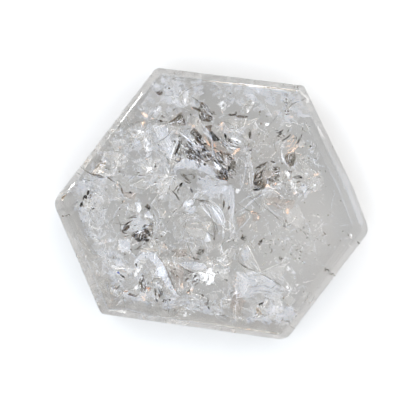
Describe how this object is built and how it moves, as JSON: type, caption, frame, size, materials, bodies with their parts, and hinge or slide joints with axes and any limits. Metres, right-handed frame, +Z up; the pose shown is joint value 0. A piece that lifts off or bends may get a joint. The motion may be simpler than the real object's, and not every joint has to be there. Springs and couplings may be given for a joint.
{
  "type": "crackle quartz slab",
  "caption": "Clear crackle quartz cut as a thick, slightly uneven hexagon, polished all over with soft bevels round both faces, to lie flat as a desk or display piece.",
  "frame": {"origin": "on the resting face, under the middle of the slab's box", "axes": "+Z up out of the upper face, +X along the longer way across, from the left corner towards the right corner"},
  "size_m": [0.0778, 0.0674, 0.018],
  "materials": {
    "clear_quartz": "polished clear quartz, faintly grey, full of bright and dark inner cracks"
  },
  "bodies": {
    "root": {"quartz_slab": "clear_quartz"}
  },
  "joints": []
}
